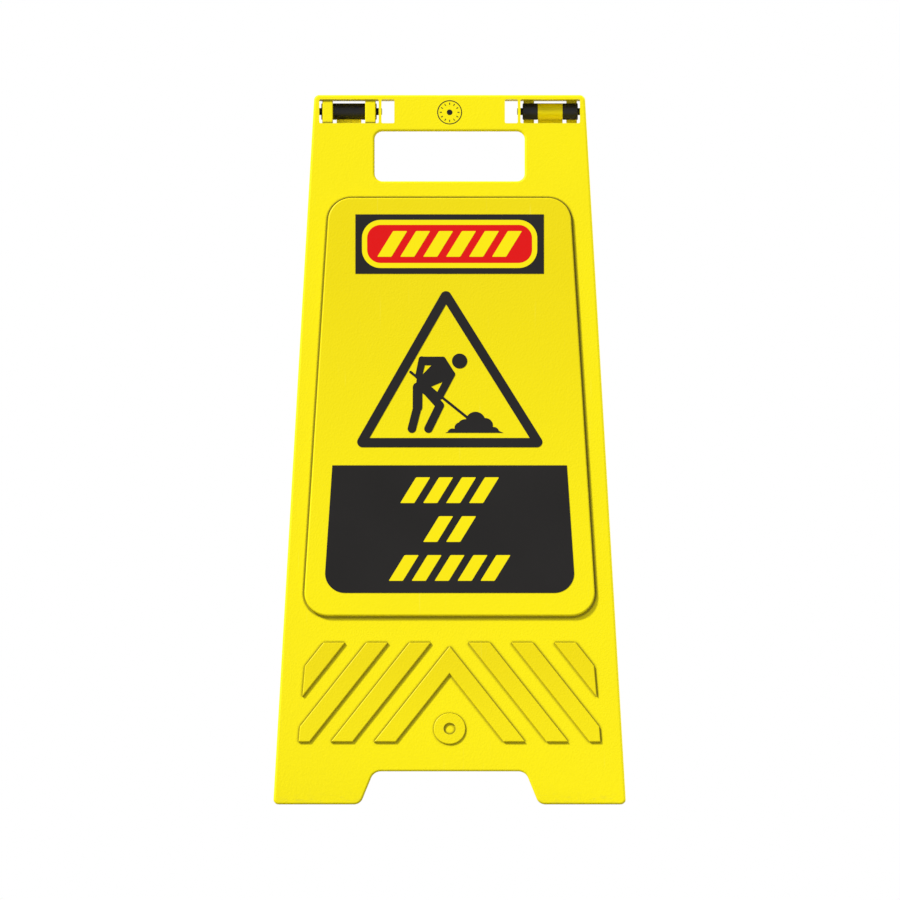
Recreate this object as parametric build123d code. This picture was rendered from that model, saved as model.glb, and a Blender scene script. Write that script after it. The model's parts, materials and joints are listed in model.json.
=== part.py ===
from build123d import *
from math import cos, radians, sin
import os

# A-frame caution sign: two identical moulded boards, hinged together along their top edges.
#
# Board frame: X across the board, Y up along it from the foot line, Z outwards from the folding plane,
# in which the boards lie back to back when the sign is folded flat. The hinge axis runs along X through
# Y = AXIS_UP, Z = 0.
# Sign frame: origin on the floor, midway between the boards, +Z up, the front board towards -Y.
# Sizes are in millimetres and degrees.

# Board
BOARD_LENGTH = 620.5
FOOT_WIDTH = 300.0
TOP_WIDTH = 230.0
BOARD_DEPTH = 14.0
WALL = 3.0
LEAN = 13.5
FOLD_GAP = 0.25
EDGE_ROUND = 2.0
CORNER_ROUND = 4.5

# Feet, and the notch between them
NOTCH_HEIGHT = 28.9
NOTCH_TOP_WIDTH = 128.9
NOTCH_FOOT_WIDTH = 151.9
NOTCH_TOP_ROUND = 9.0
NOTCH_FOOT_ROUND = 8.0
SOLE = 3.5

# Handle slot
HANDLE_WIDTH = 127.5
HANDLE_LOW = 545.1
HANDLE_HIGH = 588.2
HANDLE_ROUND = 6.8

# Raised sign field
FIELD_LOW = 164.4
FIELD_HIGH = 529.6
FIELD_LOW_WIDTH = 249.2
FIELD_HIGH_WIDTH = 204.2
FIELD_ROUND = 20.0
FIELD_RAISE = 3.5
FIELD_EDGE_ROUND = 1.2

# Raised chevron bars: a central one and three slanting bars on each side, cut off beside the board's edges
CHEVRON_LOW = 54.5
CHEVRON_HIGH = 141.1
CHEVRON_BAR = 18.2
CHEVRON_PITCH = 36.5
CHEVRON_FIRST = 15.9
CHEVRON_SLANT = 0.77
CHEVRON_APEX = 137.8
CHEVRON_LOW_REACH = 128.3
CHEVRON_HIGH_REACH = 121.2
CHEVRON_RAISE = 2.0
CHEVRON_EDGE_ROUND = 0.7
SIDE_BARS = 3

# Ring boss below the central chevron, and the round badge spot between the hinges
BOSS_UP = 66.0
BOSS_RADIUS = 13.5
BOSS_RAISE = 1.4
BOSS_RECESS_RADIUS = 5.2
BOSS_RECESS_DEPTH = 1.6
BADGE_UP = 605.0
BADGE_RADIUS = 10.5
BADGE_DEPTH = 0.6
BADGE_GAP = 0.1

# Stiffening ribs on the back of the board
RIB = 2.0
RIB_BACK = 5.0
UPRIGHT_RIB_OUT = 45.0
CROSS_RIBS_UP = (150.0, 255.0, 345.0, 435.0)

# Hinge: windows in both top corners, with a relief hole beside each
AXIS_DROP = 11.5
HINGE_OUT = 85.5
WINDOW_LENGTH = 50.5
WINDOW_HALF = 9.8
WINDOW_ROUND = 1.2
RELIEF_LENGTH = 10.9
EAR = 2.35
EAR_RADIUS = 7.0
EAR_CLEARANCE = 0.6

# Hinge pin, the seat that holds it and the hook behind it
PIN_RADIUS = 7.0
PIN_LENGTH = 47.0
PIN_CHAMFER = 0.5
CORE_RADIUS = 4.5
JOURNAL_RADIUS = 3.0
OUTER_JOURNAL = 5.8
INNER_JOURNAL = 4.6
RUNNING_GAP = 0.05
SEAT_GAP = 0.05
STRAP = 9.0
STRAP_OUT = 18.2
STRAP_FRONT = 12.5
STRAP_ROUND = 1.0
HOOK = 21.0
HOOK_GAP = 0.3
HOOK_ARM = 2.5
SHELF_SETBACK = 3.5

# Self-adhesive films on the sign field
FILM = 0.3
HEADER_WIDTH = 160.2
HEADER_LOW = 463.0
HEADER_HIGH = 514.9
RING_WIDTH = 149.0
RING_HEIGHT = 42.1
RING_BAND = 4.4
RING_ROUND = 16.0
TRIANGLE_LOW = 311.3
TRIANGLE_BAND = 8.1
TRIANGLE_BASE = 136.2
TRIANGLE_HEIGHT = 116.9
TRIANGLE_APEX_SHIFT = -3.0
TRIANGLE_ROUND = 4.7
MESSAGE_LOW = 184.0
MESSAGE_HIGH = 295.5
MESSAGE_LOW_WIDTH = 214.0
MESSAGE_HIGH_WIDTH = 199.4
MESSAGE_ROUND = 17.0

# Digger figure, measured from the middle of the triangle's lower edge
HEAD = (8.5, 75.4)
HEAD_RADIUS = 6.5
TORSO = ((-27.0, 52.5), (-13.6, 42.6), (-8.5, 44.9), (2.6, 64.2), (-5.4, 77.3), (-23.8, 77.3))
TORSO_ROUND = 1.9
REAR_ARM = ((-23.8, 77.0), (-26.8, 62.0))
REAR_ARM_WIDTH = 5.0
FRONT_ARM = ((1.4, 63.9), (-8.5, 44.9))
FRONT_ARM_WIDTH = 6.6
ARM_GAPS = (((-21.0, 71.7), (-23.0, 63.6), (-15.4, 71.7)), ((-15.6, 53.1), (-10.5, 48.4), (-6.0, 57.2)))
REAR_THIGH = ((-27.2, 52.5), (-27.3, 35.0))
REAR_THIGH_WIDTH = 8.2
REAR_SHIN = ((-27.4, 35.0), (-32.1, 16.2))
FRONT_THIGH = ((-21.5, 51.5), (-8.3, 36.6))
FRONT_SHIN = ((-8.3, 36.6), (-18.0, 16.2))
LEG_WIDTH = 7.2
SHAFT = ((-33.2, 65.8), (15.5, 25.6))
SHAFT_WIDTH = 2.2
HEAP = ((-3.5, 12.7), (45.6, 12.7), (22.0, 23.0))
HEAP_LUMPS = (
    (22.0, 22.6, 8.4),
    (13.2, 17.8, 6.7),
    (9.0, 17.0, 4.8),
    (30.5, 19.2, 6.3),
    (2.6, 11.8, 4.6),
    (37.6, 13.3, 4.4),
)

# What follows from these
AXIS_UP = BOARD_LENGTH - AXIS_DROP
LEAN_SIN = sin(radians(LEAN))
LEAN_COS = cos(radians(LEAN))
AXIS_HEIGHT = AXIS_UP * LEAN_COS - BOARD_DEPTH * LEAN_SIN
SKIN_BACK = BOARD_DEPTH - WALL
FIELD_FACE = BOARD_DEPTH + FIELD_RAISE
# The windows' edges are placed so that both boards' windows line up level when the sign stands open.
WINDOW_LOW = AXIS_UP - (WINDOW_HALF + BOARD_DEPTH * LEAN_SIN) / LEAN_COS
WINDOW_HIGH = AXIS_UP + (WINDOW_HALF - SKIN_BACK * LEAN_SIN) / LEAN_COS
WINDOW_INNER = HINGE_OUT - WINDOW_LENGTH / 2
WINDOW_OUTER = HINGE_OUT + WINDOW_LENGTH / 2
RELIEF_OUTER = WINDOW_INNER - EAR
RELIEF_INNER = RELIEF_OUTER - RELIEF_LENGTH
# How far a level line through the board climbs along it, from the outer face to the folding plane
LEVEL_RISE = BOARD_DEPTH * LEAN_SIN / LEAN_COS
# Room past a part's own limits, for cutting tools and for roots that run into their neighbour
BEYOND = 60.0
ROOT = 0.5


def block(x, y, z):
    """A box between two limits on each axis."""
    sizes = [limits[1] - limits[0] for limits in (x, y, z)]
    middle = [sum(limits) / 2 for limits in (x, y, z)]
    return Pos(*middle) * Box(*sizes)


def prism(sketch, low, high):
    """The sketch raised from one level above the folding plane to another."""
    return Pos(0, 0, low) * extrude(sketch, high - low)


def bar(x_from, x_to, radius):
    """A round bar along the hinge axis, between two places across the board."""
    middle = Pos((x_from + x_to) / 2, AXIS_UP, 0)
    return middle * Rot(0, 90, 0) * Cylinder(radius, abs(x_to - x_from))


def rounded(sketch, corners, radius):
    """The sketch with the corners nearest to the given points rounded."""
    chosen = [sketch.vertices().sort_by_distance(Vector(*corner, 0))[0] for corner in corners]
    return fillet(chosen, radius)


def mirrored(corners):
    """The given corners with their mirror images across the middle of the board."""
    return list(corners) + [(-x, y) for x, y in corners]


def tapered(low_width, high_width, low, high):
    """A centred quadrilateral with level lower and upper edges."""
    return Polygon(
        (-low_width / 2, low),
        (low_width / 2, low),
        (high_width / 2, high),
        (-high_width / 2, high),
        align=None,
    )


def raised(sketch, height, edge_round):
    """A raised pad on the outer face, rooted in the wall, with its upper edge rounded."""
    pad = prism(sketch, BOARD_DEPTH - ROOT, BOARD_DEPTH + height)
    return fillet(pad.edges().group_by(Axis.Z)[-1], edge_round)


def upright_block(up, out):
    """A wide box between two level limits and two upright limits of the sign standing open."""
    width = (-FOOT_WIDTH, FOOT_WIDTH)
    return Pos(0, AXIS_UP, 0) * Rot(LEAN, 0, 0) * block(width, up, out)


def board_width(up):
    """The board's width at a place along it, before its corners are rounded."""
    return FOOT_WIDTH + (TOP_WIDTH - FOOT_WIDTH) * up / BOARD_LENGTH


def level_cut(sketch):
    """The tool that cuts a shape on the outer face through the board, level when the sign stands open."""
    return extrude(Pos(0, 0, BOARD_DEPTH) * sketch, BEYOND, dir=(0, LEAN_SIN, -LEAN_COS))


def board_outline():
    """The board seen square on: a taper with two feet."""
    foot = FOOT_WIDTH / 2
    notch_foot = NOTCH_FOOT_WIDTH / 2
    notch_top = NOTCH_TOP_WIDTH / 2
    top = TOP_WIDTH / 2
    outline = Polygon(
        (-foot, 0),
        (-notch_foot, 0),
        (-notch_top, NOTCH_HEIGHT),
        (notch_top, NOTCH_HEIGHT),
        (notch_foot, 0),
        (foot, 0),
        (top, BOARD_LENGTH),
        (-top, BOARD_LENGTH),
        align=None,
    )
    outline = rounded(outline, mirrored([(foot, 0), (top, BOARD_LENGTH)]), CORNER_ROUND)
    outline = rounded(outline, mirrored([(notch_top, NOTCH_HEIGHT)]), NOTCH_TOP_ROUND)
    return rounded(outline, mirrored([(notch_foot, 0)]), NOTCH_FOOT_ROUND)


def handle_outline():
    """The handle slot seen square on."""
    middle = Pos(0, (HANDLE_LOW + HANDLE_HIGH) / 2)
    return middle * RectangleRounded(HANDLE_WIDTH, HANDLE_HIGH - HANDLE_LOW, HANDLE_ROUND)


def foot_gaps(outline):
    """The notch between the feet, and the slivers that round the feet's outer corners, seen square on."""
    high = 2 * NOTCH_HEIGHT
    return tapered(FOOT_WIDTH, board_width(high), 0, high) - outline


def field_outline():
    """The raised sign field seen square on."""
    field = tapered(FIELD_LOW_WIDTH, FIELD_HIGH_WIDTH, FIELD_LOW, FIELD_HIGH)
    return fillet(field.vertices(), FIELD_ROUND)


def board_shell(outline, field):
    """The skin with its return flange, handle collar, notch rim, sunk field back and soles."""
    handle = handle_outline()
    hand_hole = prism(handle, -BEYOND, BOARD_DEPTH) + level_cut(handle)
    shell = prism(outline, FOLD_GAP, BOARD_DEPTH) - hand_hole
    shell = fillet(shell.edges().group_by(Axis.Z)[-1], EDGE_ROUND)

    collar = offset(handle, WALL)
    collar += Pos(0, (HANDLE_HIGH + WINDOW_LOW) / 2) * Rectangle(
        HANDLE_WIDTH + 2 * WALL, WINDOW_LOW - HANDLE_HIGH
    )
    gaps = foot_gaps(outline)
    rim = offset(gaps.faces().sort_by(SortBy.AREA)[-1], WALL)
    rim += Pos(0, LEVEL_RISE) * rim
    shell -= prism(offset(outline, -WALL) - collar - rim, 0, SKIN_BACK)

    shell += raised(field, FIELD_RAISE, FIELD_EDGE_ROUND)
    shell -= prism(offset(field, -WALL), 0, FIELD_FACE - WALL)

    floor = -AXIS_HEIGHT
    stance = (0, FOOT_WIDTH)
    soles = prism(outline, FOLD_GAP, SKIN_BACK) & upright_block((floor, floor + SOLE), stance)
    return shell + soles - upright_block((floor - BEYOND, floor), stance) - level_cut(gaps)


def back_ribs(field):
    """Upright and cross ribs on the open back, from the skin to short of the folding plane."""
    upright_low = NOTCH_HEIGHT + LEVEL_RISE + WALL / 2
    upright_high = HANDLE_LOW - WALL / 2
    upright_middle = (upright_low + upright_high) / 2
    grid = Sketch()
    for side in (-1, 1):
        grid += Pos(side * UPRIGHT_RIB_OUT, upright_middle) * Rectangle(RIB, upright_high - upright_low)
    for up in CROSS_RIBS_UP:
        grid += Pos(0, up) * Rectangle(board_width(up) - WALL, RIB)
    ribs = prism(grid, RIB_BACK, SKIN_BACK + ROOT)
    return ribs + prism(grid & offset(field, -WALL), RIB_BACK, FIELD_FACE - WALL + ROOT)


def chevron_pads():
    """The raised chevron bars, as separate pads."""
    height = CHEVRON_HIGH - CHEVRON_LOW
    shift = CHEVRON_SLANT * height
    limits = tapered(2 * CHEVRON_LOW_REACH, 2 * CHEVRON_HIGH_REACH, CHEVRON_LOW, CHEVRON_HIGH)
    outer = CHEVRON_SLANT * (CHEVRON_APEX - CHEVRON_LOW)
    inner = outer - CHEVRON_BAR
    central = Polygon(
        (-outer, CHEVRON_LOW),
        (-inner, CHEVRON_LOW),
        (0, CHEVRON_LOW + inner / CHEVRON_SLANT),
        (inner, CHEVRON_LOW),
        (outer, CHEVRON_LOW),
        (0, CHEVRON_APEX),
        align=None,
    )
    bars = [central]
    for index in range(SIDE_BARS):
        near = CHEVRON_FIRST + index * CHEVRON_PITCH
        far = near + CHEVRON_BAR
        right = limits & Polygon(
            (near + shift, CHEVRON_LOW),
            (far + shift, CHEVRON_LOW),
            (far, CHEVRON_HIGH),
            (near, CHEVRON_HIGH),
            align=None,
        )
        bars += [right, mirror(right, Plane.YZ)]
    return [raised(outline, CHEVRON_RAISE, CHEVRON_EDGE_ROUND) for outline in bars]


def ring_boss(board):
    """The board with its ring boss and the blind recess in it."""
    pad = Pos(0, BOSS_UP) * Circle(BOSS_RADIUS)
    recess = Pos(0, BOSS_UP) * Circle(BOSS_RECESS_RADIUS)
    top = BOARD_DEPTH + BOSS_RAISE
    board += raised(pad, BOSS_RAISE, CHEVRON_EDGE_ROUND)
    return board - prism(recess, top - BOSS_RECESS_DEPTH, top + ROOT)


def hinge_windows():
    """The tools that cut the hinge windows and relief holes, and the hollow that takes the badge."""
    middle = (WINDOW_LOW + WINDOW_HIGH) / 2
    height = WINDOW_HIGH - WINDOW_LOW
    relief_middle = (RELIEF_INNER + RELIEF_OUTER) / 2
    openings = Sketch()
    for side in (-1, 1):
        openings += Pos(side * HINGE_OUT, middle) * RectangleRounded(WINDOW_LENGTH, height, WINDOW_ROUND)
        openings += Pos(side * relief_middle, middle) * RectangleRounded(
            RELIEF_LENGTH, height, WINDOW_ROUND
        )
    badge = Pos(0, BADGE_UP) * Circle(BADGE_RADIUS + BADGE_GAP)
    cuts = prism(openings, SKIN_BACK - ROOT, BOARD_DEPTH + ROOT)
    return cuts + prism(badge, BOARD_DEPTH - BADGE_DEPTH, BOARD_DEPTH + ROOT)


def pin_seat():
    """On the board's own left: two straps in front of the pin and the shelf below the window."""
    low = WINDOW_LOW - WALL
    high = BOARD_LENGTH - ROOT
    shelf_across = (-WINDOW_OUTER - ROOT, -RELIEF_INNER)
    seat = block(shelf_across, (low, WINDOW_LOW), (FOLD_GAP, SKIN_BACK + ROOT))
    for side in (-1, 1):
        middle = -HINGE_OUT + side * STRAP_OUT
        across = (middle - STRAP / 2, middle + STRAP / 2)
        strap = block(across, (low, high), (FOLD_GAP, STRAP_FRONT))
        front = strap.faces().sort_by(Axis.Z)[-1]
        seat += fillet(front.edges().filter_by(Axis.Y), STRAP_ROUND)
    return seat - bar(-WINDOW_OUTER, -WINDOW_INNER, PIN_RADIUS + SEAT_GAP)


def pin_hook():
    """The hook that rises from the shelf behind the pin and closes round its grooved back."""
    across = (-HINGE_OUT - HOOK / 2, -HINGE_OUT + HOOK / 2)
    around = (AXIS_UP - PIN_RADIUS, AXIS_UP + PIN_RADIUS)
    ring = bar(*across, PIN_RADIUS) & block(across, around, (-PIN_RADIUS, 0))
    arm = block(across, (WINDOW_LOW - WALL, AXIS_UP - CORE_RADIUS), (-HOOK_ARM, 0))
    root = block(across, (WINDOW_LOW - WALL, WINDOW_LOW), (-HOOK_ARM, FOLD_GAP + ROOT))
    return ring + arm + root - bar(*across, CORE_RADIUS + SEAT_GAP)


def journal_ears(outline):
    """On the board's own right: a springy inner ear, an outer ear and a shelf set back below the window."""
    span = (AXIS_UP - EAR_RADIUS, AXIS_UP + EAR_RADIUS)
    neck = (0, SKIN_BACK + ROOT)
    inner = (RELIEF_OUTER, WINDOW_INNER)
    outer = (WINDOW_OUTER, FOOT_WIDTH / 2)
    ears = bar(*inner, EAR_RADIUS) + block(inner, span, neck)
    side_wall = prism(outline, -EAR_RADIUS - ROOT, SKIN_BACK + ROOT)
    ears += (bar(*outer, EAR_RADIUS) + block(outer, span, neck)) & side_wall
    shelf_across = (RELIEF_INNER, WINDOW_OUTER + ROOT)
    shelf_out = (FOLD_GAP + SHELF_SETBACK, SKIN_BACK + ROOT)
    return ears + block(shelf_across, (WINDOW_LOW - WALL, WINDOW_LOW), shelf_out)


def make_board():
    """One whole board."""
    outline = board_outline()
    field = field_outline()
    board = board_shell(outline, field) + back_ribs(field)
    for pad in chevron_pads():
        board += pad
    board = ring_boss(board) - hinge_windows() + pin_seat()
    # Above the axis the backs are bevelled, so that the boards meet face to face when the sign is open.
    board -= upright_block((0, BEYOND), (-BEYOND, FOLD_GAP))
    board -= bar(-FOOT_WIDTH / 2, -WINDOW_OUTER, EAR_RADIUS + EAR_CLEARANCE)
    board += pin_hook() + journal_ears(outline)
    return board - bar(RELIEF_OUTER - ROOT, FOOT_WIDTH / 2, JOURNAL_RADIUS + RUNNING_GAP)


def make_pin():
    """A hinge pin, flat-grooved at the back for the hook, with a journal at each end."""
    near = -HINGE_OUT + PIN_LENGTH / 2
    far = -HINGE_OUT - PIN_LENGTH / 2
    barrel = bar(far, near, PIN_RADIUS)
    barrel = chamfer(barrel.edges().filter_by(GeomType.CIRCLE), PIN_CHAMFER)
    journals = bar(far - OUTER_JOURNAL, near + INNER_JOURNAL, JOURNAL_RADIUS)
    journals = chamfer(journals.edges().filter_by(GeomType.CIRCLE), PIN_CHAMFER)
    groove = HOOK / 2 + HOOK_GAP
    across = (-HINGE_OUT - groove, -HINGE_OUT + groove)
    around = (AXIS_UP - 2 * PIN_RADIUS, AXIS_UP + 2 * PIN_RADIUS)
    hollow = block(across, around, (-2 * PIN_RADIUS, HOOK_GAP)) - bar(*across, CORE_RADIUS)
    return barrel + journals - hollow


def film(sketch, layer=0):
    """A film on the sign field, on top of the given number of others."""
    low = FIELD_FACE + layer * FILM
    return prism(sketch, low, low + FILM)


def make_header():
    """The header's three films: the plate, the ring on it and the field inside the ring."""
    middle = Pos(0, (HEADER_LOW + HEADER_HIGH) / 2)
    plate = middle * Rectangle(HEADER_WIDTH, HEADER_HIGH - HEADER_LOW)
    outer = middle * RectangleRounded(RING_WIDTH, RING_HEIGHT, RING_ROUND)
    inner = offset(outer, -RING_BAND)
    return {
        "header_plate": film(plate),
        "header_ring": film(outer - inner, 1),
        "header_field": film(inner, 1),
    }


def make_triangle():
    """The warning triangle's band, sharp inside and rounded outside."""
    low = TRIANGLE_LOW + TRIANGLE_BAND
    inner = Polygon(
        (-TRIANGLE_BASE / 2, low),
        (TRIANGLE_BASE / 2, low),
        (TRIANGLE_APEX_SHIFT, low + TRIANGLE_HEIGHT),
        align=None,
    )
    outer = offset(inner, TRIANGLE_BAND, kind=Kind.INTERSECTION)
    return film(fillet(outer.vertices(), TRIANGLE_ROUND) - inner)


def limb(ends, width):
    """A straight limb with round ends."""
    start, end = ends
    return SlotCenterPoint((Vector(*start) + Vector(*end)) / 2, end, width)


def make_figure():
    """The bent digger with a shovel in a heap, and the head as a disc of its own."""
    body = offset(Polygon(*TORSO, align=None), TORSO_ROUND)
    body += limb(REAR_ARM, REAR_ARM_WIDTH) + limb(FRONT_ARM, FRONT_ARM_WIDTH)
    for gap in ARM_GAPS:
        body -= Polygon(*gap, align=None)
    body += limb(REAR_THIGH, REAR_THIGH_WIDTH)
    for part in (REAR_SHIN, FRONT_THIGH, FRONT_SHIN):
        body += limb(part, LEG_WIDTH)
    body += limb(SHAFT, SHAFT_WIDTH)
    heap = Polygon(*HEAP, align=None)
    for x, y, radius in HEAP_LUMPS:
        heap += Pos(x, y) * Circle(radius)
    ground = Pos(0, HEAP[0][1] + BEYOND / 2) * Rectangle(TRIANGLE_BASE, BEYOND)
    place = Pos(0, TRIANGLE_LOW)
    return {
        "digger_figure": film(place * (body + (heap & ground))),
        "digger_head": film(place * Pos(*HEAD) * Circle(HEAD_RADIUS)),
    }


def make_message():
    """The message plate, rounded below."""
    plate = tapered(MESSAGE_LOW_WIDTH, MESSAGE_HIGH_WIDTH, MESSAGE_LOW, MESSAGE_HIGH)
    return film(rounded(plate, mirrored([(MESSAGE_LOW_WIDTH / 2, MESSAGE_LOW)]), MESSAGE_ROUND))


def make_badge():
    """The plain badge disc, sunk in the skin."""
    spot = Pos(0, BADGE_UP) * Circle(BADGE_RADIUS)
    return prism(spot, BOARD_DEPTH - BADGE_DEPTH, BOARD_DEPTH)


def main():
    """Writes every piece of both boards."""
    os.makedirs("parts", exist_ok=True)
    pieces = {
        "board": make_board(),
        "hinge_pin": make_pin(),
        "warning_triangle": make_triangle(),
        "message_plate": make_message(),
        "badge": make_badge(),
    }
    pieces.update(make_header())
    pieces.update(make_figure())
    front = Pos(0, 0, AXIS_HEIGHT) * Rot(90 - LEAN, 0, 0) * Pos(0, -AXIS_UP, 0)
    places = {"front": front, "rear": Rot(0, 0, 180) * front}
    for side, place in places.items():
        for name, piece in pieces.items():
            export_step(place * piece, f"parts/{side}_{name}.step")


main()
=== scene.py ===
import json
import logging
import math
from dataclasses import dataclass
from enum import Enum
from typing import Callable

import bmesh
import bpy
from mathutils import Matrix, Vector


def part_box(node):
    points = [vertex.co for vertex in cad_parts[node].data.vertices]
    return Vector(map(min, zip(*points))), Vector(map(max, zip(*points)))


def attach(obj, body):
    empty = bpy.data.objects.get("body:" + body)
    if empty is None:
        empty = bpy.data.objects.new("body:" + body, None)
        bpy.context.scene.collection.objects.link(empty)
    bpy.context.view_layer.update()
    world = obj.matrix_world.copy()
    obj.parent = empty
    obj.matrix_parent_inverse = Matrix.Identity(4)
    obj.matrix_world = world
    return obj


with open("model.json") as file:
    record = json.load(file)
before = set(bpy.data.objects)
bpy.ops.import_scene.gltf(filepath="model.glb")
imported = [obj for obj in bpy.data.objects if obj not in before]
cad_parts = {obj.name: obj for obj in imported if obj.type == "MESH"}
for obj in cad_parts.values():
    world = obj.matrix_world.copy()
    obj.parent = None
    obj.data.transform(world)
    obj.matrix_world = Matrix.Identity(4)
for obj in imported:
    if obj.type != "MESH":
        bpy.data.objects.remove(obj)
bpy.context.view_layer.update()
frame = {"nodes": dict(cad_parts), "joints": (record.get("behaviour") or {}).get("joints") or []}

LOG = logging.getLogger("caution_sign")
MM = 0.001
MERGE_DISTANCE = 0.001 * MM

Colour = tuple[float, float, float, float]
Point = tuple[float, float]
Span = tuple[float, float]
Triple = tuple[float, float, float]

WHITE: Colour = (1.0, 1.0, 1.0, 1.0)
SCREEN_LEVELS = 255
SCREEN_TOE = 0.04045
SCREEN_TOE_SLOPE = 12.92
SCREEN_LIFT = 0.055
SCREEN_POWER = 2.4


def srgb(red: int, green: int, blue: int) -> Colour:
    """Turns a screen colour into the linear colour that a shader takes.

    Args:
        red, green, blue: The screen colour, each from 0 to 255.

    Returns:
        The linear colour with full alpha.
    """
    def linear(level: int) -> float:
        """Turns one channel by the screen's own curve."""
        share = level / SCREEN_LEVELS
        if share <= SCREEN_TOE:
            return share / SCREEN_TOE_SLOPE
        return ((share + SCREEN_LIFT) / (1 + SCREEN_LIFT)) ** SCREEN_POWER

    return (linear(red), linear(green), linear(blue), 1.0)


class Side(Enum):
    """The two boards, by the name of the body that carries each."""

    FRONT = "front"
    REAR = "rear"


@dataclass(frozen=True)
class Stance:
    """How the boards stand when the sign is open, read from the fold joint.

    A board's own frame has X across it, Y up along it from the hinge axis and Z outwards from the plane
    in which the boards meet when the sign is folded.
    """

    hinge_height: float
    lean: float

    @classmethod
    def from_frame(cls) -> "Stance":
        """Reads the hinge height and the lean, which is half of the fold's travel."""
        fold = frame["joints"][0]
        return cls(fold["pos_m"][2], math.radians(fold["range_deg"][1]) / 2)

    def board_to_sign(self, side: Side) -> Matrix:
        """Gives the matrix from a board's own frame to the sign's frame.

        Args:
            side: Which board.

        Returns:
            The 4 by 4 matrix.
        """
        turn = Matrix.Rotation(math.pi if side is Side.REAR else 0.0, 4, "Z")
        tilt = Matrix.Rotation(math.pi / 2 - self.lean, 4, "X")
        return turn @ Matrix.Translation((0, 0, self.hinge_height)) @ tilt

    def board_box(self, side: Side, node: str) -> tuple[Vector, Vector]:
        """Measures a node in its board's own frame.

        Args:
            side: Which board the node belongs to.
            node: The node's name without the board's name in front.

        Returns:
            The lowest and the highest corner.
        """
        to_board = self.board_to_sign(side).inverted()
        mesh = frame["nodes"][f"{side.value}_{node}"].data
        points = [to_board @ vertex.co for vertex in mesh.vertices]
        low = Vector([min(point[axis] for point in points) for axis in range(3)])
        high = Vector([max(point[axis] for point in points) for axis in range(3)])
        return low, high


STANCE = Stance.from_frame()


@dataclass
class Wiring:
    """Adds nodes to one shader tree and joins them up."""

    tree: bpy.types.ShaderNodeTree

    def node(self, kind: str, **settings: object) -> bpy.types.Node:
        """Adds a node.

        Args:
            kind: Blender's name of the node type, without "ShaderNode".
            settings: Properties to set on it.

        Returns:
            The new node.
        """
        made = self.tree.nodes.new("ShaderNode" + kind)
        for name, value in settings.items():
            setattr(made, name, value)
        return made

    def feed(self, socket: bpy.types.NodeSocket, value: object) -> None:
        """Joins an output to an input, or sets the input's own value.

        Args:
            socket: The input.
            value: An output socket, a number or a colour.
        """
        if isinstance(value, bpy.types.NodeSocket):
            self.tree.links.new(value, socket)
        else:
            socket.default_value = value

    def maths(self, operation: str, *values: object) -> bpy.types.NodeSocket:
        """Adds a Math node.

        Args:
            operation: Blender's name of the operation.
            values: Output sockets or numbers, in order.

        Returns:
            The result.
        """
        made = self.node("Math", operation=operation)
        for socket, value in zip(made.inputs, values):
            self.feed(socket, value)
        return made.outputs[0]

    def spread(self, value: object, low: float, high: float, to_low: float = 0.0,
               to_high: float = 1.0) -> bpy.types.NodeSocket:
        """Maps a range smoothly onto another and holds it at both ends.

        Args:
            value: The output socket to map.
            low, high: The range that is read.
            to_low, to_high: The range that is given.

        Returns:
            The mapped value.
        """
        made = self.node("MapRange", interpolation_type="SMOOTHSTEP")
        for name, number in zip(("Value", "From Min", "From Max", "To Min", "To Max"),
                                (value, low, high, to_low, to_high)):
            self.feed(made.inputs[name], number)
        return made.outputs["Result"]

    def noise(self, vector: object, scale: object = 1.0, layers: float = 2.0) -> bpy.types.NodeSocket:
        """Adds a noise pattern.

        Args:
            vector: The coordinates that it reads.
            scale: How many lumps there are to the metre, or 1 for coordinates already counted in lumps.
            layers: How many finer layers lie on top.

        Returns:
            The pattern, from 0 to 1.
        """
        made = self.node("TexNoise")
        self.feed(made.inputs["Vector"], vector)
        self.feed(made.inputs["Scale"], scale)
        self.feed(made.inputs["Detail"], layers)
        return made.outputs["Fac"]

    def tint(self, share: object, under: object, over: object) -> bpy.types.NodeSocket:
        """Lays one colour over another.

        Args:
            share: How much of the upper colour shows, from 0 to 1.
            under: The lower colour.
            over: The upper colour.

        Returns:
            The mixed colour.
        """
        made = self.node("Mix", data_type="RGBA", clamp_factor=True)
        inputs = [socket for socket in made.inputs if socket.enabled]
        for socket, value in zip(inputs, (share, under, over)):
            self.feed(socket, value)
        return next(socket for socket in made.outputs if socket.enabled)

    def parts(self, vector: bpy.types.NodeSocket) -> tuple[bpy.types.NodeSocket, ...]:
        """Splits a vector.

        Args:
            vector: The vector.

        Returns:
            Its X, Y and Z.
        """
        made = self.node("SeparateXYZ")
        self.feed(made.inputs[0], vector)
        return tuple(made.outputs)

    def stretched(self, vector: object, turn: Triple, scale: Triple) -> bpy.types.NodeSocket:
        """Turns and stretches coordinates.

        Args:
            vector: The coordinates.
            turn: The turn about each axis, in degrees.
            scale: The factor on each axis.

        Returns:
            The new coordinates.
        """
        made = self.node("Mapping")
        self.feed(made.inputs["Vector"], vector)
        self.feed(made.inputs["Rotation"], [math.radians(angle) for angle in turn])
        self.feed(made.inputs["Scale"], scale)
        return made.outputs["Vector"]


class Effect(Enum):
    """Surface effects, each one node group that any finish can place."""

    GRAIN = "moulded_grain"
    SCRATCHES = "hair_scratches"
    EDGE_WEAR = "edge_wear"
    CREVICE_SHADE = "crevice_shade"
    SCUFFS = "floor_scuffs"


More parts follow.
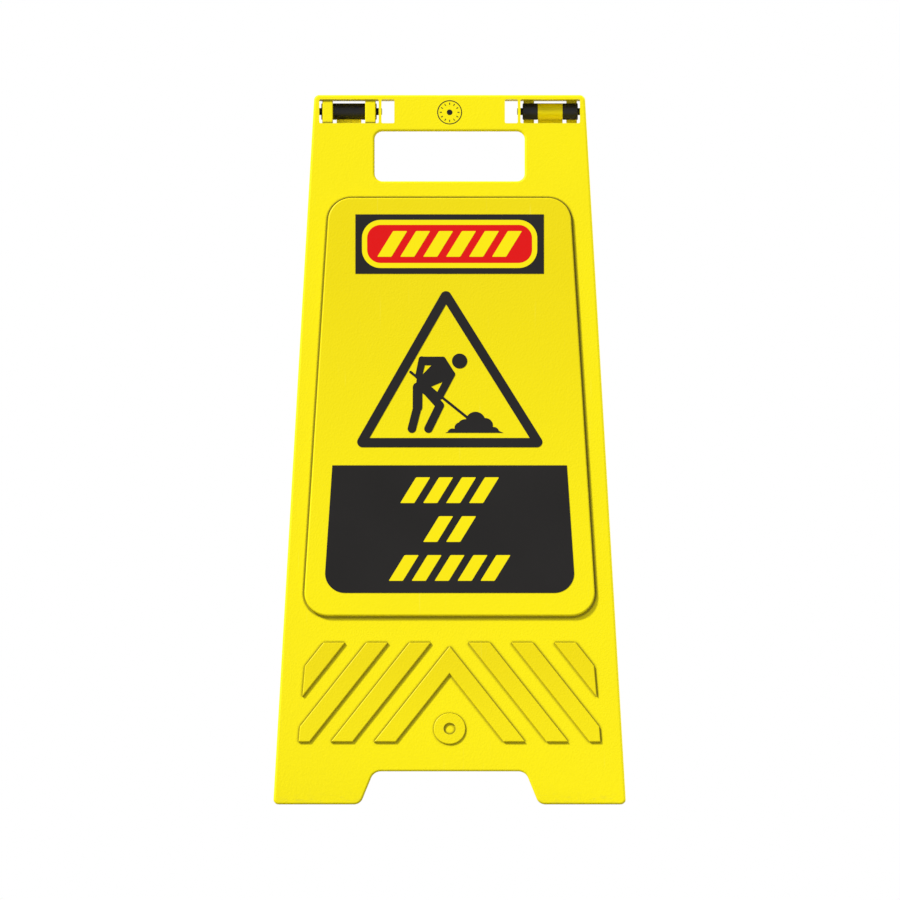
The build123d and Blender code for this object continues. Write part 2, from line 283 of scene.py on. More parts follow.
@dataclass
class EffectGroup:
    """Builds one effect as a node group with named sockets."""

    effect: Effect
    grain_layers: float = 3.0
    cells_per_grain: float = 0.5
    ripple_lumps: float = 16.0
    ripple_layers: float = 1.0
    tone_lumps: float = 11.0
    tone_layers: float = 5.0
    scratch_runs: tuple[tuple[Triple, float], ...] = (
        ((15, 35, 20), 520.0),
        ((-30, -25, 50), 430.0),
    )
    scratch_length: float = 9.0
    scratch_edge: Span = (0.68, 0.76)
    scratch_patch: Span = (0.5, 0.68)
    patch_lumps: float = 23.0
    round_samples: int = 6
    wear_turn: Span = (0.995, 0.86)
    wear_lumps: float = 140.0
    wear_layers: float = 4.0
    wear_gaps: Span = (0.42, 0.62)
    shade_samples: int = 12
    crevice_depth: Span = (0.97, 0.73)
    ledge_turn: Span = (-0.5, 0.7)
    ledge_share: Span = (0.45, 1.0)
    scuff_lumps: Triple = (150.0, 150.0, 420.0)
    scuff_layers: float = 5.0
    scuff_gaps: Span = (0.5, 0.8)

    def tree(self) -> bpy.types.ShaderNodeTree:
        """Gives the group, building it on its first use.

        Returns:
            The group.
        """
        found = bpy.data.node_groups.get(self.effect.value)
        if found:
            return found
        made = bpy.data.node_groups.new(self.effect.value, "ShaderNodeTree")
        builders: dict[Effect, Callable[[bpy.types.ShaderNodeTree], None]] = {
            Effect.GRAIN: self._grain,
            Effect.SCRATCHES: self._scratches,
            Effect.EDGE_WEAR: self._edge_wear,
            Effect.CREVICE_SHADE: self._crevice_shade,
            Effect.SCUFFS: self._scuffs,
        }
        builders[self.effect](made)
        return made

    @staticmethod
    def _ends(tree: bpy.types.ShaderNodeTree, inputs: dict[str, str],
              outputs: tuple[str, ...]) -> tuple[bpy.types.Node, bpy.types.Node]:
        """Makes a group's sockets.

        Args:
            tree: The group.
            inputs: The inputs' names, each with its kind of socket.
            outputs: The outputs' names, all plain numbers.

        Returns:
            The group's input node and output node.
        """
        for name, kind in inputs.items():
            tree.interface.new_socket(name, in_out="INPUT", socket_type=kind)
        for name in outputs:
            tree.interface.new_socket(name, in_out="OUTPUT", socket_type="NodeSocketFloat")
        return tree.nodes.new("NodeGroupInput"), tree.nodes.new("NodeGroupOutput")

    def _grain(self, tree: bpy.types.ShaderNodeTree) -> None:
        """Makes fine mould texture, the slow ripple of a large moulding and a drift of tone.

        Args:
            tree: The group to fill.
        """
        start, end = self._ends(
            tree,
            {
                "Vector": "NodeSocketVector",
                "Grains": "NodeSocketFloat",
                "Depth": "NodeSocketFloat",
                "Ripple": "NodeSocketFloat",
            },
            ("Height", "Tone"),
        )
        wiring = Wiring(tree)
        place = start.outputs["Vector"]
        fine = wiring.noise(place, start.outputs["Grains"], self.grain_layers)
        cells = wiring.node("TexVoronoi", feature="SMOOTH_F1")
        wiring.feed(cells.inputs["Vector"], place)
        spacing = wiring.maths("MULTIPLY", start.outputs["Grains"], self.cells_per_grain)
        wiring.feed(cells.inputs["Scale"], spacing)
        both = wiring.maths("ADD", fine, cells.outputs["Distance"])
        grain = wiring.maths("MULTIPLY", both, start.outputs["Depth"])
        ripple = wiring.noise(place, self.ripple_lumps, self.ripple_layers)
        ripple = wiring.maths("MULTIPLY", ripple, start.outputs["Ripple"])
        wiring.feed(end.inputs["Height"], wiring.maths("ADD", grain, ripple))
        wiring.feed(end.inputs["Tone"], wiring.noise(place, self.tone_lumps, self.tone_layers))

    def _scratches(self, tree: bpy.types.ShaderNodeTree) -> None:
        """Makes sparse hair scratches that run in two directions, each in patches of its own.

        Args:
            tree: The group to fill.
        """
        start, end = self._ends(tree, {"Vector": "NodeSocketVector", "Amount": "NodeSocketFloat"}, ("Mask",))
        wiring = Wiring(tree)
        place = start.outputs["Vector"]
        masks = []
        for index, (turn, fineness) in enumerate(self.scratch_runs):
            along = wiring.stretched(place, turn, (fineness, self.scratch_length, self.scratch_length))
            line = wiring.spread(wiring.noise(along), *self.scratch_edge)
            patches = wiring.noise(place, self.patch_lumps + index)
            masks.append(wiring.maths("MULTIPLY", line, wiring.spread(patches, *self.scratch_patch)))
        either = wiring.maths("MAXIMUM", *masks)
        wiring.feed(end.inputs["Mask"], wiring.maths("MULTIPLY", either, start.outputs["Amount"]))

    def _edge_wear(self, tree: bpy.types.ShaderNodeTree) -> None:
        """Makes rubbed edges, broken up by a noise.

        Args:
            tree: The group to fill.
        """
        start, end = self._ends(
            tree,
            {"Vector": "NodeSocketVector", "Width": "NodeSocketFloat", "Amount": "NodeSocketFloat"},
            ("Mask",),
        )
        wiring = Wiring(tree)
        round_over = wiring.node("Bevel", samples=self.round_samples)
        wiring.feed(round_over.inputs["Radius"], start.outputs["Width"])
        straight = wiring.node("NewGeometry")
        alike = wiring.node("VectorMath", operation="DOT_PRODUCT")
        wiring.feed(alike.inputs[0], round_over.outputs["Normal"])
        wiring.feed(alike.inputs[1], straight.outputs["Normal"])
        edge = wiring.spread(alike.outputs["Value"], *self.wear_turn)
        lumps = wiring.noise(start.outputs["Vector"], self.wear_lumps, self.wear_layers)
        worn = wiring.maths("MULTIPLY", edge, wiring.spread(lumps, *self.wear_gaps))
        wiring.feed(end.inputs["Mask"], wiring.maths("MULTIPLY", worn, start.outputs["Amount"]))

    def _crevice_shade(self, tree: bpy.types.ShaderNodeTree) -> None:
        """Makes painted shade: a dark line along inner corners, read from ambient occlusion, most of all on
        ledges that face up.

        Args:
            tree: The group to fill.
        """
        start, end = self._ends(tree, {"Reach": "NodeSocketFloat", "Amount": "NodeSocketFloat"}, ("Mask",))
        wiring = Wiring(tree)
        # Painted shade: ambient occlusion darkens inner corners into a dark line.
        shade = wiring.node("AmbientOcclusion", samples=self.shade_samples, only_local=True)
        wiring.feed(shade.inputs["Distance"], start.outputs["Reach"])
        corner = wiring.spread(shade.outputs["AO"], *self.crevice_depth)
        round_over = wiring.node("Bevel", samples=self.round_samples)
        wiring.feed(round_over.inputs["Radius"], start.outputs["Reach"])
        own = wiring.node("VectorTransform", vector_type="NORMAL", convert_from="WORLD", convert_to="OBJECT")
        wiring.feed(own.inputs[0], round_over.outputs["Normal"])
        facing_up = wiring.parts(own.outputs[0])[2]
        ledge = wiring.spread(facing_up, *self.ledge_turn, *self.ledge_share)
        line = wiring.maths("MULTIPLY", corner, ledge)
        wiring.feed(end.inputs["Mask"], wiring.maths("MULTIPLY", line, start.outputs["Amount"]))

    def _scuffs(self, tree: bpy.types.ShaderNodeTree) -> None:
        """Makes grime and scuffs that fade out above the floor.

        Args:
            tree: The group to fill.
        """
        start, end = self._ends(
            tree,
            {"Vector": "NodeSocketVector", "Height": "NodeSocketFloat", "Amount": "NodeSocketFloat"},
            ("Mask",),
        )
        wiring = Wiring(tree)
        place = start.outputs["Vector"]
        up = wiring.maths("DIVIDE", wiring.parts(place)[2], start.outputs["Height"])
        low = wiring.spread(up, 1.0, 0.0)
        streaks = wiring.noise(wiring.stretched(place, (0, 0, 0), self.scuff_lumps), layers=self.scuff_layers)
        marked = wiring.maths("MULTIPLY", low, wiring.spread(streaks, *self.scuff_gaps))
        wiring.feed(end.inputs["Mask"], wiring.maths("MULTIPLY", marked, start.outputs["Amount"]))


@dataclass
class Surface:
    """A material in the making: its shader, its coordinates and the effects placed in it."""

    name: str
    tone_span: Span = (0.3, 0.8)

    def __post_init__(self) -> None:
        """Makes the material with its shader and coordinates."""
        self.material = bpy.data.materials.new(self.name)
        self.material.use_nodes = True
        self.wiring = Wiring(self.material.node_tree)
        self.shader = next(node for node in self.material.node_tree.nodes if node.type == "BSDF_PRINCIPLED")
        coordinates = self.wiring.node("TexCoord")
        self.place = coordinates.outputs["Object"]
        self.facing = coordinates.outputs["Normal"]

    def effect(self, effect: Effect, **values: float) -> bpy.types.NodeSocketCollection:
        """Places an effect.

        Args:
            effect: Which one.
            values: Its inputs' values, by name.

        Returns:
            The effect's outputs.
        """
        made = self.wiring.node("Group", node_tree=EffectGroup(effect).tree())
        if "Vector" in made.inputs:
            self.wiring.feed(made.inputs["Vector"], self.place)
        for name, value in values.items():
            self.wiring.feed(made.inputs[name], value)
        return made.outputs

    def drift(self, tone: bpy.types.NodeSocket, low: float, high: float) -> bpy.types.NodeSocket:
        """Gives a value that drifts slowly over the surface.

        Args:
            tone: The grain effect's tone.
            low, high: The limits of the value.

        Returns:
            The drifting value.
        """
        return self.wiring.spread(tone, *self.tone_span, low, high)

    def paint(self, colour: bpy.types.NodeSocket) -> None:
        """Gives the surface its colour."""
        self.wiring.feed(self.shader.inputs["Base Color"], colour)

    def dull(self, roughness: bpy.types.NodeSocket) -> None:
        """Gives the surface its roughness."""
        self.wiring.feed(self.shader.inputs["Roughness"], roughness)

    def bump(self, height: bpy.types.NodeSocket) -> None:
        """Shapes the surface.

        Args:
            height: The height of its relief, in metres.
        """
        made = self.wiring.node("Bump")
        self.wiring.feed(made.inputs["Distance"], 1.0)
        self.wiring.feed(made.inputs["Height"], height)
        self.wiring.feed(self.shader.inputs["Normal"], made.outputs["Normal"])

    def set(self, **values: float) -> None:
        """Sets plain values on the shader, by the socket's name with underscores for spaces."""
        for name, value in values.items():
            self.shader.inputs[name.replace("_", " ")].default_value = value


@dataclass(frozen=True)
class Finish:
    """What every finish of the sign has: a grain, rubbed edges and a sheen that drifts."""

    name: str
    colour: Colour
    rubbed: Colour
    roughness: Span
    shine: float
    grains: float
    grain_depth: float
    ripple: float
    wear_width: float
    wear_amount: float

    def begin(self) -> tuple[Surface, bpy.types.NodeSocket, bpy.types.NodeSocket]:
        """Starts the material with its grain and its rubbed edges.

        Returns:
            The material in the making, the grain's drift of tone and the mask of the rubbed edges.
        """
        surface = Surface(self.name)
        surface.set(Specular_IOR_Level=self.shine)
        grain = surface.effect(Effect.GRAIN, Grains=self.grains, Depth=self.grain_depth, Ripple=self.ripple)
        surface.bump(grain["Height"])
        worn = surface.effect(Effect.EDGE_WEAR, Width=self.wear_width, Amount=self.wear_amount)["Mask"]
        return surface, grain["Tone"], worn


@dataclass(frozen=True)
class BoardPlastic(Finish):
    """The boards' moulded plastic, with painted shade that deepens each raised pad's yellow towards its top.
    """

    name: str = "board_plastic"
    colour: Colour = srgb(252, 236, 3)
    rubbed: Colour = srgb(255, 244, 110)
    roughness: Span = (0.36, 0.46)
    shine: float = 0.2
    grains: float = 1500.0
    grain_depth: float = 0.1 * MM
    ripple: float = 0.25 * MM
    wear_width: float = 1.2 * MM
    wear_amount: float = 0.3
    # Painted shade: each raised pad deepens to this yellow towards its top; the random tone drift also leans
    # to it.
    deep_tone_and_pad_shade: Colour = srgb(240, 220, 0)
    tone_share: float = 0.15
    pad_step: Span = (0.7 * MM, 1.3 * MM)
    bar_heights: Span = (58 * MM, 136 * MM)
    bar_share: Span = (0.45, 1.0)
    field_from: Span = (150 * MM, 151 * MM)
    # Painted shade: the dark colour laid along inner corners, with its reach, strength and shares below.
    line: Colour = srgb(72, 64, 0)
    corner_shade_reach: float = 3.2 * MM
    corner_shade_amount: float = 1.0
    outward: Span = (0.3, 0.7)
    pad_foot: Span = (0.5 * MM, 0.7 * MM)
    back_corner_shade_share: float = 0.25
    bar_corner_shade_share: float = 0.8
    grime: Colour = srgb(150, 138, 84)
    scuff_height: float = 14 * MM
    scuff_amount: float = 0.25
    scuff_dulling: float = 0.4
    scratch_amount: float = 0.5
    scratch_share: float = 0.3
    scratch_dulling: float = 0.2

    def _level(self, surface: Surface) -> bpy.types.NodeSocket:
        """Works out how high a point lies over its board's outer face.

        Args:
            surface: The material in the making.

        Returns:
            The height in metres.
        """
        wiring = surface.wiring
        face = STANCE.board_box(Side.FRONT, "badge")[1].z
        _, y, z = wiring.parts(surface.place)
        drop = wiring.maths("SUBTRACT", z, STANCE.hinge_height)
        level = wiring.maths("MULTIPLY_ADD", drop, math.sin(STANCE.lean), -face)
        return wiring.maths("MULTIPLY_ADD", wiring.maths("ABSOLUTE", y), math.cos(STANCE.lean), level)

    def _pad_shade_share(self, surface: Surface, level: bpy.types.NodeSocket) -> bpy.types.NodeSocket:
        """Finds the raised pads, and how far up each pad a point lies, which sets the painted shade that
        deepens towards each pad's top.

        Args:
            surface: The material in the making.
            level: The height over the board's outer face.

        Returns:
            1 at the top of a pad, less towards its foot and 0 elsewhere.
        """
        wiring = surface.wiring
        up = wiring.parts(surface.place)[2]
        field_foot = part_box("front_message_plate")[0].z
        field_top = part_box("front_header_plate")[1].z
        share = wiring.node("Mix", data_type="FLOAT")
        wiring.feed(share.inputs["Factor"], wiring.spread(up, *self.field_from))
        wiring.feed(share.inputs["A"], wiring.spread(up, *self.bar_heights, *self.bar_share))
        wiring.feed(share.inputs["B"], wiring.spread(up, field_foot, field_top))
        return wiring.maths("MULTIPLY", wiring.spread(level, *self.pad_step), share.outputs["Result"])

    def _corner_shade_share(self, surface: Surface, level: bpy.types.NodeSocket) -> bpy.types.NodeSocket:
        """Weakens the painted shade lines in the corners on the back of a board, and round its low chevron
        bars.

        Args:
            surface: The material in the making.
            level: The height over the board's outer face.

        Returns:
            1 round the sign field and above, and a weaker share elsewhere.
        """
        wiring = surface.wiring
        _, depth, up = wiring.parts(surface.place)
        _, y, z = wiring.parts(surface.facing)
        forward = wiring.maths("MULTIPLY", y, wiring.maths("SIGN", depth))
        rise = wiring.maths("MULTIPLY", z, math.sin(STANCE.lean))
        outward = wiring.maths("MULTIPLY_ADD", forward, math.cos(STANCE.lean), rise)
        outside = wiring.maths("MAXIMUM", wiring.spread(outward, *self.outward),
                               wiring.spread(level, *self.pad_foot))
        share = wiring.spread(outside, 0.0, 1.0, self.back_corner_shade_share, 1.0)
        return wiring.maths("MULTIPLY", share, wiring.spread(up, *self.field_from, self.bar_corner_shade_share, 1.0))

    def material(self) -> bpy.types.Material:
        """Builds the material.

        Returns:
            The material.
        """
        surface, tone, worn = self.begin()
        wiring = surface.wiring
        # Painted shade along inner corners, from the corner shade effect.
        line = surface.effect(Effect.CREVICE_SHADE, Reach=self.corner_shade_reach, Amount=self.corner_shade_amount)["Mask"]
        scuffs = surface.effect(Effect.SCUFFS, Height=self.scuff_height, Amount=self.scuff_amount)["Mask"]
        scratches = surface.effect(Effect.SCRATCHES, Amount=self.scratch_amount)["Mask"]
        level = self._level(surface)
        line = wiring.maths("MULTIPLY", line, self._corner_shade_share(surface, level))
        # Painted shade: deeper yellow towards the top of each raised pad.
        colour = wiring.tint(self._pad_shade_share(surface, level), self.colour, self.deep_tone_and_pad_shade)
        colour = wiring.tint(surface.drift(tone, 0.0, self.tone_share), colour, self.deep_tone_and_pad_shade)
        bright = wiring.maths("MULTIPLY_ADD", scratches, self.scratch_share, worn)
        colour = wiring.tint(bright, colour, self.rubbed)
        # Lays the painted corner shade over the colour.
        colour = wiring.tint(line, colour, self.line)
        surface.paint(wiring.tint(scuffs, colour, self.grime))
        rough = surface.drift(tone, *self.roughness)
        rough = wiring.maths("MULTIPLY_ADD", scratches, self.scratch_dulling, rough)
        surface.dull(wiring.maths("MULTIPLY_ADD", scuffs, self.scuff_dulling, rough))
        return surface.material


@dataclass(frozen=True)
class Film(Finish):
    """Self-adhesive film of one colour, smooth with a faint orange peel, and faded in patches."""

    roughness: Span = (0.3, 0.4)
    shine: float = 0.18
    grains: float = 420.0
    grain_depth: float = 0.004 * MM
    ripple: float = 0.12 * MM
    wear_width: float = 0.25 * MM
    wear_amount: float = 0.4
    tone_share: float = 0.25
    scratch_amount: float = 0.6
    scratch_dulling: float = 0.25

    def material(self) -> bpy.types.Material:
        """Builds the material.

        Returns:
            The material.
        """
        surface, tone, worn = self.begin()
        wiring = surface.wiring
        scratches = surface.effect(Effect.SCRATCHES, Amount=self.scratch_amount)["Mask"]
        colour = wiring.tint(surface.drift(tone, 0.0, self.tone_share), self.colour, self.rubbed)
        surface.paint(wiring.tint(worn, colour, self.rubbed))
        rough = surface.drift(tone, *self.roughness)
        surface.dull(wiring.maths("MULTIPLY_ADD", scratches, self.scratch_dulling, rough))
        return surface.material


@dataclass(frozen=True)
class PinPlastic(Finish):
    """The hinge pins' black plastic, dull and slightly pitted, with rubbed edges."""

    name: str = "pin_plastic"
    colour: Colour = srgb(30, 30, 32)
    rubbed: Colour = srgb(92, 92, 94)
    roughness: Span = (0.42, 0.55)
    shine: float = 0.25
    grains: float = 2600.0
    grain_depth: float = 0.02 * MM
    ripple: float = 0.05 * MM
    wear_width: float = 0.5 * MM
    wear_amount: float = 0.6

    def material(self) -> bpy.types.Material:
        """Builds the material.

        Returns:
            The material.
        """
        surface, tone, worn = self.begin()
        surface.paint(surface.wiring.tint(worn, self.colour, self.rubbed))
        surface.dull(surface.drift(tone, *self.roughness))
        return surface.material


@dataclass
class Palette:
    """Every finish of the sign, built once."""

    def __post_init__(self) -> None:
        """Builds the materials."""
        self.board = BoardPlastic().material()
        self.pin = PinPlastic().material()
        self.black = Film("film_black", srgb(24, 22, 21), srgb(36, 34, 33)).material()
        self.yellow = Film("film_yellow", srgb(252, 234, 4), srgb(243, 222, 6)).material()
        self.red = Film("film_red", srgb(225, 10, 10), srgb(212, 18, 18)).material()


@dataclass
class Piece:
    """A new mesh piece, shaped in a board's own frame and then put in its place."""

    name: str
    side: Side
    corner_steps: int = 6
    disc_steps: int = 48
    ring_steps: int = 72

    def __post_init__(self) -> None:
        """Starts an empty mesh."""
        self.mesh = bmesh.new()

    def slab(self, middle: Point, size: Point, level: float, thickness: float, corner: float,
             slant: float = 0.0, turn: float = 0.0) -> None:
        """Adds a thin slab that lies on a level, with rounded corners.

        Args:
            middle: The middle of the slab, across and up the board.
            size: The slab's width and height.
            level: The level that it lies on.
            thickness: How thick it is.
            corner: The radius of its corners.
            slant: How far its top edge leans across for each unit of height.
            turn: How far it is turned about its middle, in radians.
        """
        lean = Matrix.Identity(4)
        lean[0][1] = slant
        place = Matrix.Translation((*middle, level + thickness / 2)) @ Matrix.Rotation(turn, 4, "Z")
        scale = Matrix.Diagonal((*size, thickness, 1))
        made = bmesh.ops.create_cube(self.mesh, size=1.0, matrix=place @ lean @ scale)["verts"]
        edges = {edge for vertex in made for edge in vertex.link_edges}
        upright = [edge for edge in edges if abs(edge.verts[0].co.z - edge.verts[1].co.z) > thickness / 2]
        bmesh.ops.bevel(self.mesh, geom=upright, offset=corner, offset_type="OFFSET",
                        segments=self.corner_steps, profile=0.5, affect="EDGES", clamp_overlap=True,
                        material=-1)

    def disc(self, middle: Point, radius: float, level: float, thickness: float) -> None:
        """Adds a flat disc that lies on a level.

        Args:
            middle: The middle of the disc, across and up the board.
            radius: Its radius.
            level: The level that it lies on.
            thickness: How thick it is.
        """
        place = Matrix.Translation((*middle, level + thickness / 2))
        bmesh.ops.create_cone(self.mesh, cap_ends=True, segments=self.disc_steps, radius1=radius,
                              radius2=radius, depth=thickness, matrix=place)

    def ring(self, middle: Point, inner: float, outer: float, level: float, thickness: float) -> None:
        """Adds a flat ring that lies on a level.

        Args:
            middle: The middle of the ring, across and up the board.
            inner, outer: Its radii.
            level: The level that it lies on.
            thickness: How thick it is.
        """
        heights = (level, level, level + thickness, level + thickness)
        radii = (inner, outer, outer, inner)
        profile = [
            self.mesh.verts.new((middle[0] + radius, middle[1], height))
            for radius, height in zip(radii, heights)
        ]
        edges = [self.mesh.edges.new((profile[index - 1], profile[index])) for index in range(len(profile))]
        bmesh.ops.spin(self.mesh, geom=profile + edges, cent=(*middle, 0), axis=(0, 0, 1), dvec=(0, 0, 0),
                       angle=math.tau, steps=self.ring_steps, use_merge=True)

    def finish(self, material: bpy.types.Material, slot: str) -> None:
        """Puts the piece in its place on its board.

        Args:
            material: Its finish.
            slot: Not used.
        """
        bmesh.ops.remove_doubles(self.mesh, verts=self.mesh.verts, dist=MERGE_DISTANCE)
        bmesh.ops.recalc_face_normals(self.mesh, faces=self.mesh.faces)
        bmesh.ops.transform(self.mesh, matrix=STANCE.board_to_sign(self.side), verts=self.mesh.verts)
        data = bpy.data.meshes.new(self.name)
        self.mesh.to_mesh(data)
        self.mesh.free()
        data.materials.append(material)
        made = bpy.data.objects.new(self.name, data)
        bpy.context.scene.collection.objects.link(made)
        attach(made, self.side.value)
        LOG.info("made %s with %d faces", self.name, len(data.polygons))


@dataclass(frozen=True)
class HazardBar:
    """The slanting bar that is printed in rows, as on barrier tape."""

    width: float = 12.0 * MM
    height: float = 22.5 * MM
    pitch: float = 19.5 * MM
    slant: float = 0.6
    corner: float = 0.8 * MM
    thickness: float = 0.12 * MM

    def row(self, piece: Piece, middle: Point, level: float, count: int) -> None:
        """Adds a row of bars to a piece.

        Args:
            piece: The piece that gets them.
            middle: The middle of the row, across and up the board.
            level: The level that they lie on.
            count: How many there are.
        """
        for index in range(count):
            across = (index - (count - 1) / 2) * self.pitch
            piece.slab((middle[0] + across, middle[1]), (self.width, self.height), level, self.thickness,
                       self.corner, self.slant)


@dataclass(frozen=True)
class Dial:
    """The plain dial that is printed on a badge: a ring, ticks and a middle dot."""

    band: float = 0.7 * MM
    ticks: int = 12
    tick_inner: float = 6.6 * MM
    tick_outer: float = 8.4 * MM
    tick_width: float = 0.7 * MM
    tick_corner: float = 0.1 * MM
    dot: float = 2.4 * MM
    thickness: float = 0.12 * MM

    def draw(self, piece: Piece, middle: Point, radius: float, level: float) -> None:
        """Adds the dial to a piece.

        Args:
            piece: The piece that gets it.
            middle: The middle of the dial, across and up the board.
            radius: The dial's outer radius.
            level: The level that it lies on.
        """
        piece.ring(middle, radius - self.band, radius, level, self.thickness)
        piece.disc(middle, self.dot, level, self.thickness)
        reach = (self.tick_inner + self.tick_outer) / 2
        size = (self.tick_outer - self.tick_inner, self.tick_width)
        for index in range(self.ticks):
            turn = index * math.tau / self.ticks
            spot = (middle[0] + reach * math.cos(turn), middle[1] + reach * math.sin(turn))
            piece.slab(spot, size, level, self.thickness, self.tick_corner, turn=turn)


@dataclass(frozen=True)
class EjectorMarks:
    """The ring marks that ejector pins leave on the back of the sign field."""

    radius: float = 5.0 * MM
    band: float = 0.8 * MM
    proud: float = 0.3 * MM
    wall: float = 3.0 * MM
    columns: tuple[float, ...] = (-78 * MM, 0.0, 78 * MM)
    rows: tuple[float, ...] = (-404 * MM, -309 * MM, -219 * MM, -124 * MM)

    def press(self, piece: Piece, field_level: float) -> None:
        """Adds the marks to a piece.

        Args:
            piece: The piece that gets them.
            field_level: The level of the sign field's face.
        """
        back = field_level - self.wall
        for up in self.rows:
            for across in self.columns:
                piece.ring((across, up), self.radius - self.band, self.radius, back - self.proud, self.proud)


@dataclass
class SignBoard:
    """One board with its films, hinge pin, printed marks and moulding marks."""

    side: Side
    palette: Palette
    bar: HazardBar = HazardBar()
    dial: Dial = Dial()
    ejector_marks: EjectorMarks = EjectorMarks()
    header_bars: int = 6
    message_bars: tuple[int, ...] = (4, 2, 5)
    message_pitch: float = 34 * MM

    def dress(self) -> None:
        """Gives every node of the board its finish."""
        finishes = {
            "board": self.palette.board,
            "badge": self.palette.board,
            "hinge_pin": self.palette.pin,
            "warning_triangle": self.palette.black,
            "digger_figure": self.palette.black,
            "digger_head": self.palette.black,
            "message_plate": self.palette.black,
            "header_plate": self.palette.black,
            "header_ring": self.palette.yellow,
            "header_field": self.palette.red,
        }
        for name, material in finishes.items():
            node = f"{self.side.value}_{name}"
            frame["nodes"][node].material_slots[0].material = material
            LOG.info("dressed %s", node)

    def piece(self, name: str) -> Piece:
        """Starts a new piece of this board."""
        return Piece(f"{self.side.value}_{name}", self.side)

    def print_header(self) -> None:
        """Prints a row of slanting bars on the header field."""
        low, high = STANCE.board_box(self.side, "header_field")
        middle = (low + high) / 2
        piece = self.piece("header_bars")
        self.bar.row(piece, middle.xy, high.z, self.header_bars)
        piece.finish(self.palette.yellow, "film_yellow")

    def print_message(self) -> None:
        """Prints rows of slanting bars on the message plate."""
        low, high = STANCE.board_box(self.side, "message_plate")
        middle = (low + high) / 2
        piece = self.piece("message_bars")
        for index, count in enumerate(self.message_bars):
            up = ((len(self.message_bars) - 1) / 2 - index) * self.message_pitch
            self.bar.row(piece, (middle.x, middle.y + up), high.z, count)
        piece.finish(self.palette.yellow, "film_yellow")

    def print_badge(self) -> None:
        """Prints a plain dial on the badge."""
        low, high = STANCE.board_box(self.side, "badge")
        middle = (low + high) / 2
        piece = self.piece("badge_dial")
        self.dial.draw(piece, middle.xy, (high.x - low.x) / 2, high.z)
        piece.finish(self.palette.black, "film_black")

    def mark_back(self) -> None:
        """Leaves the ejector pins' marks on the back of the sign field."""
        field_level = STANCE.board_box(self.side, "message_plate")[0].z
        piece = self.piece("ejector_marks")
        self.ejector_marks.press(piece, field_level)
        piece.finish(self.palette.board, "board_yellow")

    def build(self) -> None:
        """Dresses the board and adds its marks."""
        self.dress()
        self.print_header()
        self.print_message()
        self.print_badge()
        self.mark_back()


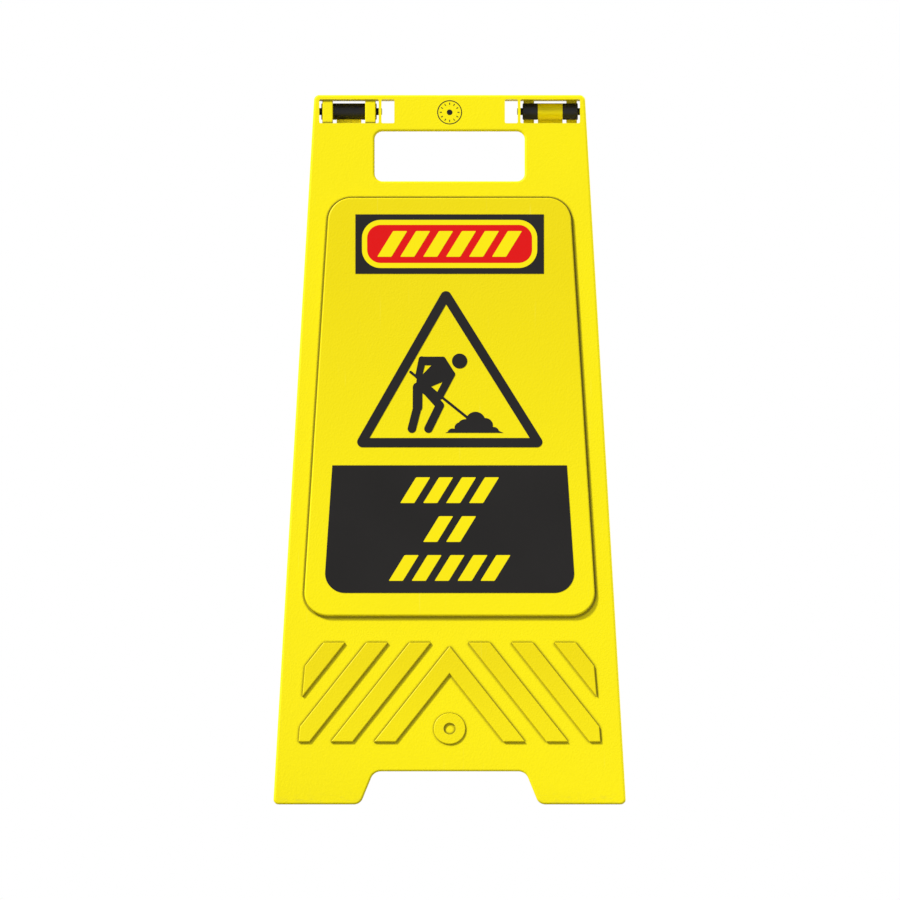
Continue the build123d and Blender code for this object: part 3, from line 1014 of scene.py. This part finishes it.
@dataclass
class Studio:
    """Floor, lamps, world and camera round the sign."""

    image_side: int = 900
    mm_per_pixel: float = 0.85
    middle_pixel: float = 449.6
    foot_line_pixel: float = 804.4
    camera_distance: float = 3.0
    floor_radius: float = 1.2
    floor_steps: int = 96
    floor_fade: Span = (0.4, 0.95)
    floor_colour: Colour = srgb(182, 182, 182)
    floor_bounce: Colour = srgb(130, 130, 130)
    floor_roughness: float = 0.9
    floor_shine: float = 0.1
    key_from: Triple = (-1.15, 1.3, 1.0)
    key_strength: float = 3.5
    key_spread: float = 8.0
    ambient: float = 0.45

    @staticmethod
    def _seen(wiring: Wiring) -> bpy.types.NodeSocket:
        """Tells what the camera and reflections see from what only lights the sign.

        Args:
            wiring: The tree that asks.

        Returns:
            1 for what is seen, and 0 for light.
        """
        path = wiring.node("LightPath")
        seen = wiring.maths("MAXIMUM", path.outputs["Is Camera Ray"], path.outputs["Is Glossy Ray"])
        return wiring.maths("MAXIMUM", seen, path.outputs["Is Transmission Ray"])

    def build_floor(self) -> None:
        """Lays a pale round floor that fades out far from the sign."""
        mesh = bmesh.new()
        bmesh.ops.create_circle(mesh, cap_ends=True, segments=self.floor_steps, radius=self.floor_radius)
        data = bpy.data.meshes.new("floor")
        mesh.to_mesh(data)
        mesh.free()
        floor = bpy.data.objects.new("floor", data)
        bpy.context.scene.collection.objects.link(floor)
        data.materials.append(self.floor_paint())

    def floor_paint(self) -> bpy.types.Material:
        """Builds the floor's material, which throws less light on the sign than its colour would.

        Returns:
            The material.
        """
        surface = Surface("floor_paint")
        wiring = surface.wiring
        surface.set(Roughness=self.floor_roughness, Specular_IOR_Level=self.floor_shine)
        surface.paint(wiring.tint(self._seen(wiring), self.floor_bounce, self.floor_colour))
        length = wiring.node("VectorMath", operation="LENGTH")
        wiring.feed(length.inputs[0], surface.place)
        blend = wiring.node("MixShader")
        clear = wiring.node("BsdfTransparent")
        output = next(node for node in surface.material.node_tree.nodes if node.type == "OUTPUT_MATERIAL")
        wiring.feed(blend.inputs[0], wiring.spread(length.outputs["Value"], *self.floor_fade))
        wiring.feed(blend.inputs[1], surface.shader.outputs[0])
        wiring.feed(blend.inputs[2], clear.outputs[0])
        wiring.feed(output.inputs["Surface"], blend.outputs[0])
        return surface.material

    def build_lamps(self) -> None:
        """Lights each board from its own upper left, so that what is raised throws a short shadow."""
        for side in Side:
            lamp = bpy.data.lights.new(f"{side.value}_key", "SUN")
            lamp.energy = self.key_strength
            lamp.angle = math.radians(self.key_spread)
            hung = bpy.data.objects.new(f"{side.value}_key", lamp)
            towards = STANCE.board_to_sign(side).to_3x3() @ Vector(self.key_from)
            hung.location = towards
            hung.rotation_mode = "QUATERNION"
            hung.rotation_quaternion = towards.to_track_quat("Z", "Y")
            bpy.context.scene.collection.objects.link(hung)

    def build_world(self) -> None:
        """Surrounds the sign with soft light, which the camera and reflections see as white."""
        world = bpy.data.worlds.new("studio")
        world.use_nodes = True
        bpy.context.scene.world = world
        wiring = Wiring(world.node_tree)
        background = next(node for node in world.node_tree.nodes if node.type == "BACKGROUND")
        wiring.feed(background.inputs["Color"], WHITE)
        strength = wiring.spread(self._seen(wiring), 0.0, 1.0, self.ambient, 1.0)
        wiring.feed(background.inputs["Strength"], strength)

    def build_camera(self) -> None:
        """Sets a level camera square to the sign, framed as in the photograph."""
        camera = bpy.data.cameras.new("camera")
        camera.type = "ORTHO"
        camera.ortho_scale = self.image_side * self.mm_per_pixel * MM
        stand = bpy.data.objects.new("camera", camera)
        centre = self.image_side / 2
        across = (centre - self.middle_pixel) * self.mm_per_pixel * MM
        up = (self.foot_line_pixel - centre) * self.mm_per_pixel * MM
        stand.location = (across, -self.camera_distance, up)
        stand.rotation_euler = (math.pi / 2, 0, 0)
        bpy.context.scene.collection.objects.link(stand)
        bpy.context.scene.camera = stand

    def build(self) -> None:
        """Builds the studio and sets the view's colours."""
        bpy.context.scene.view_settings.view_transform = "Standard"
        self.build_floor()
        self.build_lamps()
        self.build_world()
        self.build_camera()


def main() -> None:
    """Builds both boards and the studio."""
    logging.basicConfig(level=logging.INFO)
    palette = Palette()
    for side in Side:
        SignBoard(side, palette).build()
    Studio().build()


if __name__ == "__main__":
    main()
